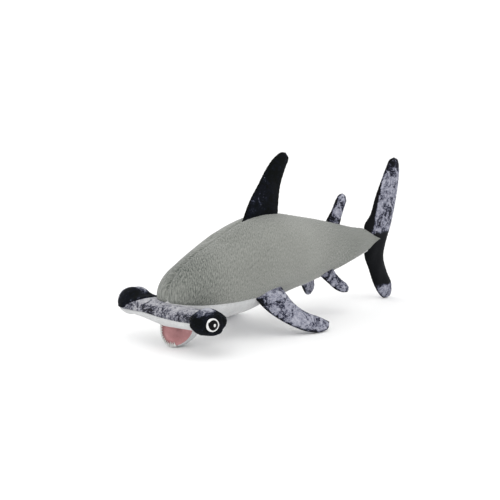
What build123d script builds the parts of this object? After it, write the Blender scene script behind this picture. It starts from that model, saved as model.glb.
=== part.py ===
from build123d import *
from math import radians, tan
import os

# Plush hammerhead shark, sewn from fabric panels over loose fibre filling.
# Row frame: +Z up, nose towards -Y, tail towards +Y, +X on the shark's left.
# Origin: on the floor under the middle of the shark's bounding box.
# Lengths along the shark are given as the distance behind the hammer's front edge.

# Driving dimensions, millimetres and degrees
LENGTH = 515.0          # front edge of the hammer to the rear edge of the tail fin
FABRIC = 2.0            # short plush on its knitted backing
GAP = 0.6               # room between pieces that move against each other
HAMMER_TILT = 3.8       # the hammer droops a little towards its left eye
HAMMER_MIDDLE = 23.0    # middle of the hammer's chord, behind its front edge
HAMMER_HALF_CENTRE = 32.0
POD_START = 57.0        # where the dark eye pod is sewn to the lobe
POD_END = 86.0          # flat end of the pod, which carries the eye
EYE_RING_RADIUS = 8.5
EYE_PUPIL_RADIUS = 5.2
EYE_GLINT_RADIUS = 1.3
EYE_THICK = 1.2
EYE_FORWARD = 3.0       # the eye sits this far ahead of the middle of the pod's end
EYE_GLINT_PLACE = (-1.8, 1.6)
HAMMER_SEAM = 45.0      # height of the seam between the hammer's mottled top and its white underside
BROW = 33.0             # where the hammer's top fabric meets the grey back
TAIL_START = 392.0      # end of the torso, where the tail stock bends
CAUDAL_START = 449.0    # end of the tail stock, where the tail fin swings
FIN_THICK = 12.0
SMALL_FIN_THICK = 9.0
LIP = 26.0              # front of the lower lip
TOOTH_COUNT = 9
TOOTH_RADIUS = 3.6      # of the circle round each felt triangle
TOOTH_CIRCLE = 16.2     # circle on which the triangles stand
TOOTH_START = 190.0     # first triangle and the arc that they fill, degrees
TOOTH_ARC = 160.0
TEETH_MIDDLE = 26.0     # height of the middle of the mouth
TEETH_OUTSIDE = (19.0, 20.0)
TEETH_INSIDE = (16.5, 17.5)
FELT = 1.2
ROOT_BLADE = 1.2        # half thickness of a fin where it is sewn to the body
ROOT_HEIGHT = 12.0      # a fin reaches its full thickness this far out
SWING_MARGIN = 2.0      # degrees of room beyond a joint's limit
REACH = 150.0           # cutters extend this far, past every piece

# Joint limits, degrees
LOBE_SWING = 15.0
TAIL_SWING = 20.0
CAUDAL_SWING = 20.0
DORSAL_SWING = 30.0
PECTORAL_OUT = 35.0
PECTORAL_IN = 10.0
PELVIC_OUT = 25.0
PELVIC_IN = 15.0

SIDES = (("left", 1), ("right", -1))

# Torso and tail stations: distance from the front, top, bottom, half width
TORSO_STATIONS = (
    (20, 80, 40, 22),
    (35, 91, 33, 33),
    (57, 107, 29, 42),
    (101, 131, 27, 51),
    (152, 152, 31, 57),
    (192, 160, 38, 57),
    (232, 158, 45, 54),
    (281, 149, 51, 46),
    (338, 137, 60, 35),
    (368, 130, 66, 29),
    (TAIL_START, 124, 71, 25),
)
TAIL_END = (112, 84, 8)     # top, bottom and half width of the tail stock's end
TAIL_STATIONS = ((TAIL_START, 124, 71, 25), (427, 118, 78, 16), (CAUDAL_START, *TAIL_END))
# Side seam between the grey back and the white belly: distance, height
SIDE_SEAM = ((10, 61), (60, 56), (105, 54), (150, 55), (237, 52), (281, 58), (338, 67), (455, 93))

# Hammer stations: distance from the middle, height of the middle, half chord, half thickness
HAMMER_STATIONS = (
    (0, 45, 23, 15.5),
    (30, 46, 23, 14),
    (48, 47.5, 22.5, 14),
    (67, 49.5, 23.5, 17),
    (80, 49.5, 19, 14.5),
    (POD_END, 49.5, 13, 10.5),
)
# Lower jaw and mouth stations: distance from the front, middle height, half width, half height
JAW_STATIONS = ((LIP, 25, 22, 23.5), (38, 25, 23, 25.6), (52, 27, 23, 21), (67, 28, 20, 12.5), (84, 30, 14, 6))
MOUTH_STATIONS = ((LIP - 3, 26, 17, 18), (40, 27, 16, 15), (52, 28, 12, 9), (58, 29, 8, 4))

# Fin roots, the direction of each root towards the tail, and the direction out of the body
DORSAL_ROOT, DORSAL_LINE, DORSAL_OUTWARDS = (196, 161), (0, 1, 0), (0, 0, 1)
SECOND_ROOT, SECOND_LINE, SECOND_OUTWARDS = (356, 133), (0, 34, -8), (0, 8, 34)
PECTORAL_ROOT, PECTORAL_LINE, PECTORAL_OUTWARDS = (47, 166, 57), (3, 50, 14), (42, 71, -54)
PELVIC_ROOT, PELVIC_LINE = (25, 313, 63), (2, 30, 5)
PELVIC_OUTWARDS = {"left": (12, 8, -36), "right": (-9, 8, -38)}
# Fin outlines in the fin's own plane: (along the root towards the tail, out of the body)
DORSAL_OUTLINE = ((-36, -4), (-23, 20), (-8, 42), (9, 65), (27, 81), (45, 85), (52, 79), (47, 62), (38, 40), (34, -4))
SECOND_OUTLINE = ((-19, -4), (-10, 17), (-3, 36), (8, 45), (18, 39), (17, 22), (14, -4))
PECTORAL_OUTLINE = (
    (-25, -6), (-20, 15), (-9, 34), (8, 55), (28, 71), (46, 78), (60, 76), (61, 67), (46, 49), (34, 30), (28, -6),
)
PELVIC_OUTLINE = ((-13, -6), (-4, 11), (9, 26), (22, 32), (31, 27), (24, 16), (14, -6))
CAUDAL_OUTLINE = (
    (432, 73), (443, 52), (457, 24), (480, 0), (496, 2), (499, 19), (486, 42), (476, 70), (493, 108),
    (508, 153), (515, 194), (510, 215), (497, 222), (484, 212), (464, 184), (450, 160), (439, 134), (422, 119),
)


def along(distance):
    """Row Y of a place that lies this far behind the hammer's front edge."""
    return distance - LENGTH / 2


def ellipse_loft(stations, inset=0.0):
    """Solid through upright ellipses; a station is (distance, middle height, half width, half height)."""
    with BuildPart(mode=Mode.PRIVATE) as solid:
        for distance, middle, half_width, half_height in stations:
            with BuildSketch(Plane((0, along(distance), middle), x_dir=(1, 0, 0), z_dir=(0, 1, 0))):
                Ellipse(half_width - inset, half_height - inset)
        loft()
    return solid.part


def body_loft(stations, inset=0.0):
    """Solid through the torso or tail stations, whose heights are given as top and bottom."""
    return ellipse_loft([(s, (top + low) / 2, half, (top - low) / 2) for s, top, low, half in stations], inset)


def hammer_loft(inset=0.0):
    """The whole hammer, through ellipses that stand across its width."""
    slope = tan(radians(HAMMER_TILT))
    right_half = [(-x, z, c, t) for x, z, c, t in HAMMER_STATIONS[:0:-1]]
    with BuildPart(mode=Mode.PRIVATE) as solid:
        for x, middle, half_chord, half_thick in right_half + list(HAMMER_STATIONS):
            place = (x, along(HAMMER_MIDDLE), middle - x * slope)
            with BuildSketch(Plane(place, x_dir=(0, 1, 0), z_dir=(1, 0, 0))):
                Ellipse(half_chord - inset, half_thick - inset)
        loft()
    return solid.part


def side_prism(points, closed_by):
    """Prism across the body; its outline is a smooth line closed by straight ones, in row Y and Z."""
    curve = [(along(s), z) for s, z in points]
    ends = [(along(s), z) for s, z in closed_by]
    with BuildPart(mode=Mode.PRIVATE) as solid:
        with BuildSketch(Plane.YZ):
            with BuildLine():
                Spline(*curve)
                Polyline(curve[-1], *ends, curve[0])
            make_face()
        extrude(amount=REACH, both=True)
    return solid.part


def slab(low, high):
    """Box between two corners."""
    size = [b - a for a, b in zip(low, high)]
    middle = [(a + b) / 2 for a, b in zip(low, high)]
    with BuildPart(mode=Mode.PRIVATE) as solid:
        with Locations(tuple(middle)):
            Box(*size)
    return solid.part


def drawn_in(outline, inset):
    """The outline with each point moved to the inside, which is on the right of its direction."""
    points = []
    for before, point, after in zip(outline[:1] + outline[:-1], outline, outline[1:] + outline[-1:]):
        direction = (Vector(*after) - Vector(*before)).normalized()
        points.append((point[0] + direction.Y * inset, point[1] - direction.X * inset))
    return points


def save(piece, name):
    """Label a finished sub-part and write it."""
    piece.part.label = name
    export_step(piece.part, f"parts/{name}.step")


class Fin:
    """Blank and filling of one flat sewn fin, hinged along its root."""

    def __init__(self, root, root_line, outwards, outline, thick, limits, body):
        u = Vector(root_line).normalized()
        w = (Vector(outwards) - u * Vector(outwards).dot(u)).normalized()
        self.plane = Plane(root, x_dir=u, z_dir=u.cross(w))
        self.axis = Axis(root, u)
        self.thick = thick
        cutters = [body] + [body.rotate(self.axis, -angle) for angle in limits]
        relief = self.root_relief(root, u, w)
        self.blank = self.trimmed(outline, 0.0, cutters + relief)
        self.filling = self.trimmed(outline, FABRIC, cutters + relief)

    def root_relief(self, root, u, w):
        """Wedges that thin the root to a blade, so that the fin can lean to each side."""
        wide = ROOT_BLADE + 1.5 * ROOT_HEIGHT
        wedges = []
        for side in (1, -1):
            with BuildPart(mode=Mode.PRIVATE) as wedge:
                with BuildSketch(Plane(root, x_dir=u.cross(w), z_dir=-u)):
                    with BuildLine():
                        Polyline(
                            (side * ROOT_BLADE, -REACH), (side * ROOT_BLADE, 0), (side * wide, ROOT_HEIGHT),
                            (side * REACH, ROOT_HEIGHT), (side * REACH, -REACH), close=True,
                        )
                    make_face()
                extrude(amount=REACH, both=True)
            wedges.append(wedge.part)
        return wedges

    def trimmed(self, outline, inset, cutters):
        """Flat plate of the outline, drawn in by the inset all round, less the cutters."""
        with BuildPart(mode=Mode.PRIVATE) as plate:
            with BuildSketch(self.plane):
                with BuildLine():
                    edge = Spline(*drawn_in(outline, inset))
                    Line(edge @ 1, edge @ 0)
                make_face()
            extrude(amount=self.thick / 2 - inset, both=True)
            for cutter in cutters:
                add(cutter, mode=Mode.SUBTRACT)
            add(BELOW_FLOOR, mode=Mode.SUBTRACT)
        return plate.part


def write_fin(fin, name, panels):
    """A fin's two fabric panels, on the far and near side of its plane, and the filling between them."""
    for panel, keep in zip(panels, (Keep.TOP, Keep.BOTTOM)):
        with BuildPart() as skin:
            add(fin.blank)
            add(fin.filling, mode=Mode.SUBTRACT)
            split(bisect_by=fin.plane, keep=keep)
        save(skin, f"{name}_{panel}_panel")
    with BuildPart() as filling:
        add(fin.filling)
    save(filling, f"{name}_filling")


os.makedirs("parts", exist_ok=True)

# Shapes that several pieces are cut from
BELOW_FLOOR = slab((-REACH, -LENGTH, -REACH), (REACH, LENGTH, 0))
TORSO = body_loft(TORSO_STATIONS)
TORSO_CORE = body_loft(TORSO_STATIONS, FABRIC)
TORSO_ROOM = body_loft(TORSO_STATIONS, -GAP)
TAIL = body_loft(TAIL_STATIONS)
TAIL_CORE = body_loft(TAIL_STATIONS, FABRIC)
TAIL_ROOM = body_loft(TAIL_STATIONS[:-1] + ((CAUDAL_START + GAP, *TAIL_END),), -GAP)
HAMMER = hammer_loft()
HAMMER_CORE = hammer_loft(FABRIC)
BELLY_SIDE = side_prism(SIDE_SEAM, ((455, -30), (10, -30)))
UNDER_HAMMER = slab((-REACH, -LENGTH, -REACH), (REACH, LENGTH, HAMMER_SEAM))
BEHIND_BROW = slab((-REACH, along(BROW), 0), (REACH, LENGTH, REACH))
HAMMER_CENTRE = slab((-HAMMER_HALF_CENTRE, -LENGTH, -REACH), (HAMMER_HALF_CENTRE, LENGTH, REACH))

# Torso: two grey back panels, a white belly panel and the filling
for side_name, side in SIDES:
    with BuildPart() as back_panel:
        add(TORSO)
        add(TORSO_CORE, mode=Mode.SUBTRACT)
        add(BELLY_SIDE, mode=Mode.SUBTRACT)
        split(bisect_by=Plane.YZ, keep=Keep.TOP if side > 0 else Keep.BOTTOM)
    save(back_panel, f"back_panel_{side_name}")
with BuildPart() as belly_panel:
    add(TORSO)
    add(TORSO_CORE, mode=Mode.SUBTRACT)
    add(BELLY_SIDE, mode=Mode.INTERSECT)
save(belly_panel, "belly_panel")
with BuildPart() as torso_filling:
    add(TORSO_CORE)
save(torso_filling, "torso_filling")

# Head: the fixed middle of the hammer
with BuildPart() as hammer_top_centre:
    add(HAMMER)
    add(HAMMER_CORE, mode=Mode.SUBTRACT)
    add(HAMMER_CENTRE, mode=Mode.INTERSECT)
    add(UNDER_HAMMER, mode=Mode.SUBTRACT)
    add(TORSO, mode=Mode.SUBTRACT)
    add(BEHIND_BROW, mode=Mode.SUBTRACT)
save(hammer_top_centre, "hammer_top_centre")
with BuildPart() as hammer_under_centre:
    add(HAMMER)
    add(HAMMER_CORE, mode=Mode.SUBTRACT)
    add(HAMMER_CENTRE, mode=Mode.INTERSECT)
    add(UNDER_HAMMER, mode=Mode.INTERSECT)
    add(TORSO, mode=Mode.SUBTRACT)
save(hammer_under_centre, "hammer_under_centre")
with BuildPart() as hammer_filling_centre:
    add(HAMMER_CORE)
    add(HAMMER_CENTRE, mode=Mode.INTERSECT)
    add(TORSO, mode=Mode.SUBTRACT)
save(hammer_filling_centre, "hammer_filling_centre")

# Hammer lobes: each flexes on a fore-and-aft line beside the head
for side_name, side in SIDES:
    hinge_x = side * (HAMMER_HALF_CENTRE + GAP)
    hinge_z = HAMMER_STATIONS[1][1] - hinge_x * tan(radians(HAMMER_TILT))
    hinge = Axis((hinge_x, 0, hinge_z), (0, 1, 0))
    flank = REACH * tan(radians(LOBE_SWING + SWING_MARGIN))
    with BuildPart(mode=Mode.PRIVATE) as lobe_room:
        with BuildSketch(Plane((hinge_x, along(0), hinge_z), x_dir=(side, 0, 0), z_dir=(0, side, 0))):
            with BuildLine():
                Polyline((0, 0), (flank, REACH), (REACH, REACH), (REACH, -REACH), (flank, -REACH), close=True)
            make_face()
        extrude(amount=REACH, both=True)
    torso_rooms = [TORSO_ROOM] + [TORSO_ROOM.rotate(hinge, angle) for angle in (LOBE_SWING, -LOBE_SWING)]
    pod_near, pod_far = sorted((side * POD_START, side * REACH))
    pod_side = slab((pod_near, -LENGTH, 0), (pod_far, LENGTH, REACH))

    with BuildPart() as lobe_top:
        add(HAMMER)
        add(HAMMER_CORE, mode=Mode.SUBTRACT)
        add(lobe_room.part, mode=Mode.INTERSECT)
        add(pod_side, mode=Mode.SUBTRACT)
        add(UNDER_HAMMER, mode=Mode.SUBTRACT)
        for room in torso_rooms:
            add(room, mode=Mode.SUBTRACT)
    save(lobe_top, f"hammer_top_{side_name}")
    with BuildPart() as lobe_under:
        add(HAMMER)
        add(HAMMER_CORE, mode=Mode.SUBTRACT)
        add(lobe_room.part, mode=Mode.INTERSECT)
        add(pod_side, mode=Mode.SUBTRACT)
        add(UNDER_HAMMER, mode=Mode.INTERSECT)
        for room in torso_rooms:
            add(room, mode=Mode.SUBTRACT)
    save(lobe_under, f"hammer_under_{side_name}")
    with BuildPart() as lobe_filling:
        add(HAMMER_CORE)
        add(lobe_room.part, mode=Mode.INTERSECT)
        for room in torso_rooms:
            add(room, mode=Mode.SUBTRACT)
    save(lobe_filling, f"hammer_filling_{side_name}")
    with BuildPart() as eye_pod:
        add(HAMMER)
        add(HAMMER_CORE, mode=Mode.SUBTRACT)
        add(pod_side, mode=Mode.INTERSECT)
    save(eye_pod, f"eye_pod_{side_name}")

    # Embroidered eye on the flat end of the pod
    eye_height = HAMMER_STATIONS[-1][1] - side * POD_END * tan(radians(HAMMER_TILT))
    eye_middle = (side * POD_END, along(HAMMER_MIDDLE - EYE_FORWARD), eye_height)
    eye_plane = Plane(eye_middle, x_dir=(0, side, 0), z_dir=(side, 0, 0))
    with BuildPart() as eye_ring:
        with BuildSketch(eye_plane):
            Circle(EYE_RING_RADIUS)
            Circle(EYE_PUPIL_RADIUS, mode=Mode.SUBTRACT)
        extrude(amount=EYE_THICK)
    save(eye_ring, f"eye_ring_{side_name}")
    with BuildPart() as eye_pupil:
        with BuildSketch(eye_plane):
            Circle(EYE_PUPIL_RADIUS)
            with Locations(EYE_GLINT_PLACE):
                Circle(EYE_GLINT_RADIUS, mode=Mode.SUBTRACT)
        extrude(amount=EYE_THICK)
    save(eye_pupil, f"eye_pupil_{side_name}")
    with BuildPart() as eye_glint:
        with BuildSketch(eye_plane):
            with Locations(EYE_GLINT_PLACE):
                Circle(EYE_GLINT_RADIUS)
        extrude(amount=EYE_THICK)
    save(eye_glint, f"eye_glint_{side_name}")

# Lower jaw: a white pouch under the hammer with a pink lining, open to the front
JAW = ellipse_loft(JAW_STATIONS)
JAW_CORE = ellipse_loft(JAW_STATIONS, FABRIC)
MOUTH = ellipse_loft(MOUTH_STATIONS)
MOUTH_BACK = ellipse_loft(MOUTH_STATIONS, -FABRIC)
BEHIND_LIP = slab((-REACH, along(LIP), -REACH), (REACH, LENGTH, REACH))
with BuildPart() as jaw_cover:
    add(JAW)
    add(JAW_CORE, mode=Mode.SUBTRACT)
    add(MOUTH_BACK, mode=Mode.SUBTRACT)
    add(HAMMER, mode=Mode.SUBTRACT)
    add(TORSO, mode=Mode.SUBTRACT)
    add(BELOW_FLOOR, mode=Mode.SUBTRACT)
save(jaw_cover, "jaw_cover")
with BuildPart() as mouth_lining:
    add(MOUTH_BACK)
    add(MOUTH, mode=Mode.SUBTRACT)
    add(BEHIND_LIP, mode=Mode.INTERSECT)
    add(HAMMER, mode=Mode.SUBTRACT)
    add(TORSO, mode=Mode.SUBTRACT)
save(mouth_lining, "mouth_lining")
with BuildPart() as jaw_filling:
    add(JAW_CORE)
    add(MOUTH_BACK, mode=Mode.SUBTRACT)
    add(HAMMER, mode=Mode.SUBTRACT)
    add(TORSO, mode=Mode.SUBTRACT)
save(jaw_filling, "jaw_filling")

# Felt teeth along the lower lip
with BuildPart() as teeth_strip:
    with BuildSketch(Plane((0, along(LIP), TEETH_MIDDLE), x_dir=(1, 0, 0), z_dir=(0, -1, 0))):
        Ellipse(*TEETH_OUTSIDE)
        Ellipse(*TEETH_INSIDE, mode=Mode.SUBTRACT)
        with Locations((0, TEETH_OUTSIDE[1])):
            Rectangle(3 * TEETH_OUTSIDE[0], 2 * TEETH_OUTSIDE[1], mode=Mode.SUBTRACT)
        with PolarLocations(TOOTH_CIRCLE, TOOTH_COUNT, start_angle=TOOTH_START, angular_range=TOOTH_ARC):
            RegularPolygon(TOOTH_RADIUS, 3, rotation=180)
    extrude(amount=FELT)
    add(HAMMER, mode=Mode.SUBTRACT)
save(teeth_strip, "teeth_strip")

# Fins, each two panels and a filling
write_fin(
    Fin((0, along(DORSAL_ROOT[0]), DORSAL_ROOT[1]), DORSAL_LINE, DORSAL_OUTWARDS, DORSAL_OUTLINE, FIN_THICK,
        (DORSAL_SWING, -DORSAL_SWING), TORSO_ROOM),
    "first_dorsal", ("left", "right"),
)
write_fin(
    Fin((0, along(SECOND_ROOT[0]), SECOND_ROOT[1]), SECOND_LINE, SECOND_OUTWARDS, SECOND_OUTLINE, SMALL_FIN_THICK,
        (DORSAL_SWING, -DORSAL_SWING), TORSO_ROOM),
    "second_dorsal", ("left", "right"),
)
for side_name, side in SIDES:
    faces = ("inner", "outer") if side > 0 else ("outer", "inner")
    across, distance, height = PECTORAL_ROOT
    pectoral = Fin((side * across, along(distance), height), (side * PECTORAL_LINE[0], *PECTORAL_LINE[1:]),
                   (side * PECTORAL_OUTWARDS[0], *PECTORAL_OUTWARDS[1:]), PECTORAL_OUTLINE, FIN_THICK,
                   (-side * PECTORAL_OUT, side * PECTORAL_IN), TORSO_ROOM)
    write_fin(pectoral, f"pectoral_{side_name}", faces)
    across, distance, height = PELVIC_ROOT
    pelvic = Fin((side * across, along(distance), height), (side * PELVIC_LINE[0], *PELVIC_LINE[1:]),
                 PELVIC_OUTWARDS[side_name], PELVIC_OUTLINE, SMALL_FIN_THICK,
                 (-side * PELVIC_OUT, side * PELVIC_IN), TORSO_ROOM)
    write_fin(pelvic, f"pelvic_{side_name}", faces)

# Tail stock: bends sideways behind the second dorsal fin
tail_flank = REACH * tan(radians(TAIL_SWING + SWING_MARGIN))
with BuildPart(mode=Mode.PRIVATE) as tail_room:
    with BuildSketch(Plane.XY):
        with BuildLine():
            hinge_y = along(TAIL_START) + GAP
            Polyline(
                (0, hinge_y), (REACH, hinge_y + tail_flank), (REACH, LENGTH), (-REACH, LENGTH),
                (-REACH, hinge_y + tail_flank), close=True,
            )
        make_face()
    extrude(amount=REACH)
for side_name, side in SIDES:
    with BuildPart() as tail_panel:
        add(TAIL)
        add(TAIL_CORE, mode=Mode.SUBTRACT)
        add(BELLY_SIDE, mode=Mode.SUBTRACT)
        add(tail_room.part, mode=Mode.INTERSECT)
        split(bisect_by=Plane.YZ, keep=Keep.TOP if side > 0 else Keep.BOTTOM)
    save(tail_panel, f"tail_panel_{side_name}")
with BuildPart() as tail_belly_panel:
    add(TAIL)
    add(TAIL_CORE, mode=Mode.SUBTRACT)
    add(BELLY_SIDE, mode=Mode.INTERSECT)
    add(tail_room.part, mode=Mode.INTERSECT)
save(tail_belly_panel, "tail_belly_panel")
with BuildPart() as tail_filling:
    add(TAIL_CORE)
    add(tail_room.part, mode=Mode.INTERSECT)
save(tail_filling, "tail_filling")

# Tail fin: a tall upper lobe and a short lower one in a single upright plate
caudal_root = (0, along(CAUDAL_START) + GAP, 0)
caudal_outline = tuple((z, s - CAUDAL_START - GAP) for s, z in CAUDAL_OUTLINE)
write_fin(
    Fin(caudal_root, (0, 0, 1), (0, 1, 0), caudal_outline, FIN_THICK, (CAUDAL_SWING, -CAUDAL_SWING), TAIL_ROOM),
    "tail_fin", ("right", "left"),
)
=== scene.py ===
import math

import bmesh
import bpy
import numpy as np
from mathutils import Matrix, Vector


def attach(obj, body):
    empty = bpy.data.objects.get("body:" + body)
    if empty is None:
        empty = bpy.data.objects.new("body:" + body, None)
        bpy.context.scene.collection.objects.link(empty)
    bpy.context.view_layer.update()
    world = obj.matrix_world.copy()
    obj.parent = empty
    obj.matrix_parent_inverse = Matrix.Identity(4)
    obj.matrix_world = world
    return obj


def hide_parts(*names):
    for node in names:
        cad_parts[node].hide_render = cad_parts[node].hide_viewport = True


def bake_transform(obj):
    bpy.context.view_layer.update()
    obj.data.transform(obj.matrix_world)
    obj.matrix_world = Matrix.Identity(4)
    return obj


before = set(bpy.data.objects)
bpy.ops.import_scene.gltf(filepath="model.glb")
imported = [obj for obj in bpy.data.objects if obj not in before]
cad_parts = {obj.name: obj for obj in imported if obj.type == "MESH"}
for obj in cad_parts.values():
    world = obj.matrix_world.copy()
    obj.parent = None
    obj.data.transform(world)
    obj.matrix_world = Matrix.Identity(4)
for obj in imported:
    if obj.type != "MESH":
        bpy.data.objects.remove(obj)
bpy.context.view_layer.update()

# Plush hammerhead shark. Shapes are worked out in millimetres, then stored in metres.
# A place along the shark is its distance behind the hammer's front edge.
MM = 0.001
LENGTH = 515.0
FRONT = -LENGTH / 2
HAMMER_TILT = math.tan(math.radians(3.8))
HAMMER_MIDDLE = 23.0        # distance of the hammer's middle line
HAMMER_AXIS = 46            # height of that line
BODY_AXIS = 95              # height that the body's panels face away from
FLOOR_CLEARANCE = 0.2
WELD_DISTANCE = 0.02

# Body: distance, top, bottom, half width
BODY = np.array([
    (16, 65.2, 64.8, 0.3), (17.5, 74, 54, 12), (22, 84, 44, 23), (28, 92, 37, 30), (35, 99, 33, 35),
    (57, 113, 29, 43), (101, 132, 27, 51), (152, 152, 31, 57), (192, 160, 38, 57), (232, 158, 45, 54),
    (281, 149, 51, 46), (338, 137, 60, 35), (368, 130, 66, 29), (392, 124, 71, 24), (427, 118, 78, 15),
    (449, 113, 84, 9.5), (470, 108, 88, 6.3),
], float)
# Side seam between the grey back and the white belly: distance, height
SIDE_SEAM = np.array([
    (10, 61), (60, 56), (105, 54), (150, 54), (190, 49), (237, 50), (281, 55), (338, 64), (392, 75),
    (427, 82), (470, 92),
], float)
# Hammer: distance from the middle, middle height, half chord, half thickness
HAMMER = np.array([
    (0, 45, 23, 15.5), (30, 46, 23, 14), (48, 47.5, 22.5, 13.5), (57, 48.5, 22, 14), (68, 49.5, 23.5, 17),
    (78, 49.5, 21, 15.8), (84, 49.5, 17, 13.2), (88, 49.5, 10, 8.5), (89.5, 49.5, 0.4, 0.4),
], float)
POD_START = 57.0
POD_END = HAMMER[-1, 0]
FRONT_SEAM, REAR_SEAM = -0.06, -0.35    # angles round the hammer's section
# The right lobe is sewn a little askew: its rear edge rides up and its pod starts further out below
LOBE_PITCH = math.radians(18)
LOBE_TWIST = (22, 68)       # how far out the pitch starts and ends
# Jaw: distance, middle height, half width, half height
JAW = np.array([
    (26, 25, 22, 23.5), (38, 25, 23.5, 24.3), (52, 27, 23, 21), (67, 28, 20, 12.5), (84, 30, 14, 6),
], float)
THROAT = np.array([1.5, FRONT + 41.0, 26.0])    # deepest point of the mouth


def y_at(distance):
    return FRONT + distance


def smooth(table, x, column):
    """Column of a station table at x, by cubic Hermite pieces."""
    xs, ys = table[:, 0], table[:, column]
    slopes = np.gradient(ys, xs)
    i = np.clip(np.searchsorted(xs, x) - 1, 0, len(xs) - 2)
    h = xs[i + 1] - xs[i]
    t = np.clip((x - xs[i]) / h, 0, 1)
    a, b = 2 * t**3 - 3 * t**2 + 1, t**3 - 2 * t**2 + t
    return a * ys[i] + b * h * slopes[i] + (1 - a) * ys[i + 1] + (t**3 - t**2) * h * slopes[i + 1]


def ramp_up(x, low, high):
    """Smooth step from 0 to 1 between two values."""
    t = np.clip((x - low) / (high - low), 0, 1)
    return t * t * (3 - 2 * t)


def spline(points, t):
    """Points of a Catmull-Rom line through the given ones, at shares t of its length."""
    pts = np.array(points, float)
    steps = np.linalg.norm(np.diff(pts, axis=0), axis=1)
    knots = np.concatenate([[0], np.cumsum(steps)]) / steps.sum()
    table = np.column_stack([knots, pts])
    t = np.asarray(t, float)
    return np.stack([smooth(table, t, 1 + k) for k in range(pts.shape[1])], -1)


def waves(points, size, seed, count=7):
    """Smooth lumps between about -1 and 1, with features of the given size."""
    rng = np.random.RandomState(seed)
    total = np.zeros(points.shape[:-1])
    for _ in range(count):
        direction = rng.normal(size=3)
        direction *= rng.uniform(0.7, 1.5) * 2 * math.pi / size / np.linalg.norm(direction)
        total += np.sin(points @ direction + rng.uniform(0, 2 * math.pi))
    return total / math.sqrt(count) / 1.2


def surface_normals(P):
    """Unit normals of a grid of points."""
    n = np.cross(np.gradient(P, axis=0), np.gradient(P, axis=1))
    return n / np.maximum(np.linalg.norm(n, axis=-1, keepdims=True), 1e-9)


def across_lengths(P):
    """Distance of each grid point from the first and the last column, along its row."""
    step = np.linalg.norm(np.diff(P, axis=1), axis=-1)
    run = np.concatenate([np.zeros((P.shape[0], 1)), np.cumsum(step, axis=1)], axis=1)
    return run, run[:, -1:] - run


def sewn(P, outward, depth, width, lump, seed, pucker=0.45, pitch=8.0):
    """A panel with valleys along its sewn edges, puckers beside them and soft lumps."""
    n = surface_normals(P)
    if np.sum(n * outward(P)) < 0:
        n = -n
    near = np.minimum(*across_lengths(P))
    along_run = np.cumsum(np.linalg.norm(np.diff(P, axis=0, prepend=P[:1]), axis=-1), axis=0)
    phase = 2 * math.pi * along_run / pitch + 2.2 * waves(P, 3.5 * pitch, seed + 5)
    move = -depth * np.exp(-((near / width) ** 2))
    move += pucker * np.sin(phase) * np.exp(-near / 5.0) * (1 - np.exp(-near / 0.8))
    move += lump * waves(P, 60, seed) * (1 - np.exp(-near / 10))
    return P + n * move[..., None]


def grid_object(name, P, material, tone=None, normals=None, flip=False, weave=None):
    """Mesh object of a grid of points in millimetres; tone and weave are read by the materials."""
    rows, columns = P.shape[:2]
    verts = P.reshape(-1, 3) * MM
    verts[:, 2] = np.maximum(verts[:, 2], FLOOR_CLEARANCE * MM)
    i, j = np.meshgrid(np.arange(rows - 1), np.arange(columns - 1), indexing="ij")
    a = (i * columns + j).ravel()
    faces = np.column_stack([a, a + 1, a + columns + 1, a + columns])
    if flip:
        faces = faces[:, ::-1]
    mesh = bpy.data.meshes.new(name)
    mesh.from_pydata(verts.tolist(), [], faces.tolist())
    mesh.validate(clean_customdata=False)
    mesh.polygons.foreach_set("use_smooth", np.ones(len(mesh.polygons), bool))
    if tone is not None:
        layer = mesh.attributes.new("tone", "FLOAT", "POINT")
        layer.data.foreach_set("value", np.asarray(tone, np.float32).ravel())
    if weave is not None:
        layer = mesh.attributes.new("weave", "FLOAT_VECTOR", "POINT")
        layer.data.foreach_set("vector", np.asarray(weave, np.float32).ravel())
    if normals is not None:
        mesh.normals_split_custom_set_from_vertices(normals.reshape(-1, 3).tolist())
    mesh.materials.append(material)
    obj = bpy.data.objects.new(name, mesh)
    bpy.context.scene.collection.objects.link(obj)
    return obj


def weld(obj):
    """Join the points of a mesh that coincide, as at a tip."""
    bm = bmesh.new()
    bm.from_mesh(obj.data)
    bmesh.ops.remove_doubles(bm, verts=bm.verts, dist=WELD_DISTANCE * MM)
    bm.to_mesh(obj.data)
    bm.free()


# ---------------------------------------------------------------- materials

RIB_SPACING = 0.0029        # metres


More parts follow.
